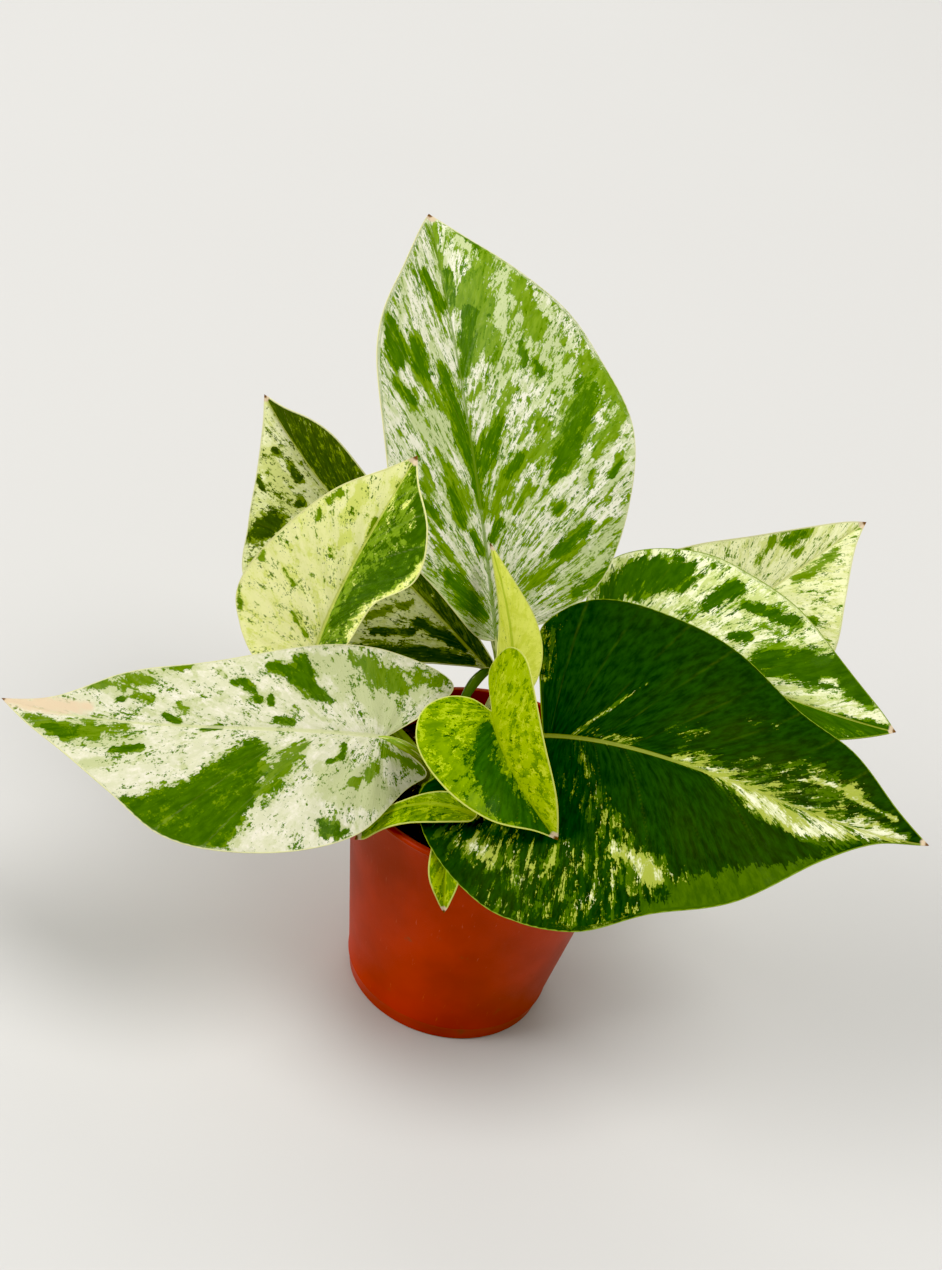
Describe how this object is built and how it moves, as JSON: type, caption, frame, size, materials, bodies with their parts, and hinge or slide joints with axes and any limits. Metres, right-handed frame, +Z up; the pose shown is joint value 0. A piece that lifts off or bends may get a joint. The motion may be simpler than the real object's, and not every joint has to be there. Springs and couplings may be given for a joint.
{
  "type": "potted marble queen pothos",
  "caption": "Small pothos with cream-marbled heart-shaped leaves on bent stalks, in a tapered round plastic nursery pot of dark soil.",
  "frame": {"origin": "middle of the pot's flat underside", "axes": "+Z up along the pot's axis; -Y is the front, the side that the leaves' upper faces turn to; +X is to the right seen from the front"},
  "size_m": [0.267, 0.1571, 0.212],
  "materials": {
    "pot_plastic": "satin moulded terracotta-coloured plastic",
    "soil": "moist dark peat with white perlite grains, matt",
    "vine": "smooth waxy green stem",
    "marbled_leaf": "glossy cream leaf marbled in greens, paler and matt below",
    "green_leaf": "glossy dark green leaf with cream streaks, paler and matt below",
    "young_leaf": "soft glossy yellow-green leaf with fine green specks"
  },
  "bodies": {
    "root": {"pot": "pot_plastic", "soil": "soil", "vine_back": "vine", "vine_right": "vine", "vine_left": "vine", "vine_front": "vine", "leaf_tall": "marbled_leaf", "leaf_back_left": "marbled_leaf", "leaf_young_left": "young_leaf", "leaf_left": "marbled_leaf", "leaf_spear": "young_leaf", "leaf_centre": "young_leaf", "leaf_right": "green_leaf", "leaf_mid_right": "green_leaf", "leaf_back_right": "marbled_leaf", "leaf_curled": "young_leaf", "leaf_small_front": "young_leaf"}
  },
  "joints": []
}
